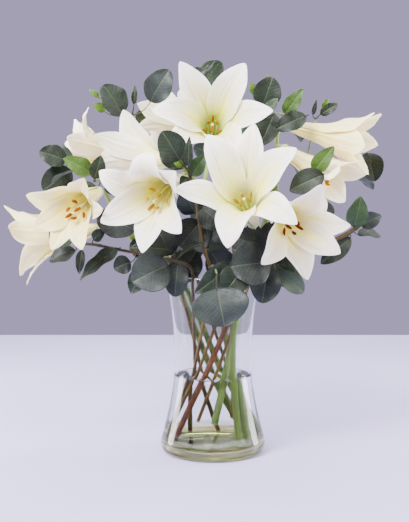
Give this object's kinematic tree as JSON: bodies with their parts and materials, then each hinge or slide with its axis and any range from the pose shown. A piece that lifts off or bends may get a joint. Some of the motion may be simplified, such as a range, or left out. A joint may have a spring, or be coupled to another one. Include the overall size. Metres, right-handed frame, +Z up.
{
  "type": "lilies in a vase",
  "caption": "White trumpet lilies with grey-green eucalyptus branches, their stems standing in water in a waisted clear glass vase",
  "frame": {"origin": "centre of the vase's foot, on the surface it stands on", "axes": "+Z up along the vase's axis, -Y the side the bouquet faces, +X to the right of someone who looks at that side"},
  "size_m": [0.4846, 0.3186, 0.4929],
  "materials": {
    "glass": "clear, polished",
    "water": "clear still water",
    "petal": "satin white petal, yellow-green in the throat",
    "stamen": "powdery orange anthers on pale green filaments",
    "lily_stem": "satin fresh green stem",
    "eucalyptus": "waxy grey-green leaf on a brown twig"
  },
  "bodies": {
    "root": {"vase": "glass", "water": "water", "bloom_crown": "petal", "bloom_front": "petal", "bloom_heart": "petal", "bloom_west": "petal", "bloom_westLow": "petal", "bloom_northWest": "petal", "bloom_westHigh": "petal", "bloom_east": "petal", "bloom_northEast": "petal", "bloom_eastHigh": "petal", "bloom_back": "petal", "stamens_crown": "stamen", "stamens_front": "stamen", "stamens_heart": "stamen", "stamens_west": "stamen", "stamens_westLow": "stamen", "stamens_northWest": "stamen", "stamens_westHigh": "stamen", "stamens_east": "stamen", "stamens_northEast": "stamen", "stamens_eastHigh": "stamen", "stamens_back": "stamen", "lily_stem_west": "lily_stem", "lily_stem_northWest": "lily_stem", "lily_stem_centre": "lily_stem", "lily_stem_front": "lily_stem", "lily_stem_northEast": "lily_stem", "eucalyptus_west": "eucalyptus", "eucalyptus_northWest": "eucalyptus", "eucalyptus_north": "eucalyptus", "eucalyptus_east": "eucalyptus", "eucalyptus_southEast": "eucalyptus", "eucalyptus_frontRight": "eucalyptus", "eucalyptus_front": "eucalyptus", "eucalyptus_frontLeft": "eucalyptus"}
  },
  "joints": []
}
